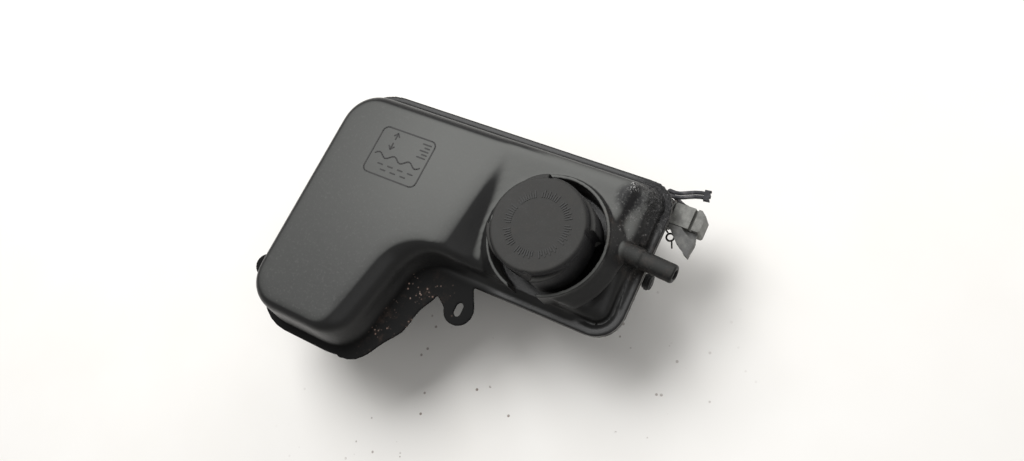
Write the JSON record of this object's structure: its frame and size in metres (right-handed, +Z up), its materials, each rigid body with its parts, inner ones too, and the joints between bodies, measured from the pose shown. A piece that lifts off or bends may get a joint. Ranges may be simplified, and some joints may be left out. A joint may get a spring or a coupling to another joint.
{
  "type": "coolant expansion tank",
  "caption": "Two-shell moulded coolant expansion tank with a screw cap in a round well, vent nipple, outlet spout, mounting ear and level sensor.",
  "frame": {"origin": "centre line of the filler neck, on the plane of the flat underside", "axes": "+Z up along the filler neck, +X towards the vent nipple and plug, along the long side, +Y towards the straight back edge"},
  "size_m": [0.2842, 0.1886, 0.112],
  "materials": {
    "shell": "moulded black plastic, satin, dusty and dirt-speckled",
    "cap": "moulded black plastic, satin, dusty",
    "valve_plastic": "moulded dark grey plastic",
    "pale_plastic": "natural moulded plastic, slightly yellowed",
    "rubber": "matt black rubber",
    "seal_rubber": "brown-red silicone rubber",
    "spring_steel": "drawn spring wire",
    "magnet": "pressed ferrite, dull",
    "sensor_plastic": "moulded dark grey plastic, dusty",
    "contact_metal": "tinned brass, dull",
    "clip_wire": "thin black-coated spring wire",
    "plug_plastic": "moulded grey plastic, dusty",
    "lead_cover": "worn cable covering"
  },
  "bodies": {
    "tank": {"upper_shell": "shell", "lower_shell": "shell", "float_clip": "spring_steel", "sensor_body": "sensor_plastic", "sensor_seal": "seal_rubber", "sensor_pins": "contact_metal", "retaining_clip": "clip_wire", "peg_grommet": "rubber"},
    "valve_unit": {"valve_housing": "valve_plastic", "neck_gasket": "rubber", "valve_o_ring": "rubber", "spring_stop": "valve_plastic", "pressure_spring": "spring_steel"},
    "cap": {"cap_cover": "cap"},
    "pressure_valve": {"pressure_plate": "pale_plastic", "pressure_gasket": "rubber", "vacuum_spring": "spring_steel"},
    "vacuum_poppet": {"vacuum_valve": "pale_plastic"},
    "float": {"level_float": "pale_plastic", "float_magnet": "magnet"},
    "plug": {"plug_housing": "plug_plastic", "plug_seal": "seal_rubber", "sensor_lead_a": "lead_cover", "sensor_lead_b": "lead_cover", "lead_sleeve": "lead_cover"}
  },
  "joints": [
    {"name": "cap_lift", "type": "slide", "parent": "tank", "child": "valve_unit", "axis": [0, 0, 1], "range_m": [0, 0.012]},
    {"name": "cap_turn", "type": "hinge", "parent": "valve_unit", "child": "cap", "pos_m": [0, 0, 0.1], "axis": [0, 0, 1], "range_deg": [0, 1080]},
    {"name": "pressure_lift", "type": "slide", "parent": "valve_unit", "child": "pressure_valve", "axis": [0, 0, 1], "range_m": [0, 0.003], "stiffness_N_per_m": 2500, "springref_m": -0.01, "deforming": ["pressure_spring"]},
    {"name": "vacuum_open", "type": "slide", "parent": "pressure_valve", "child": "vacuum_poppet", "axis": [0, 0, -1], "range_m": [0, 0.002], "stiffness_N_per_m": 300, "springref_m": -0.004, "deforming": ["vacuum_spring"]},
    {"name": "float_rise", "type": "slide", "parent": "tank", "child": "float", "axis": [0, 0, 1], "range_m": [0, 0.03]},
    {"name": "plug_pull", "type": "slide", "parent": "tank", "child": "plug", "axis": [1, 0, 0], "range_m": [0, 0.015]}
  ],
  "couplings": [
    {"joint": "cap_lift", "follows": "cap_turn", "m_per_rad": 0.00063662}
  ]
}
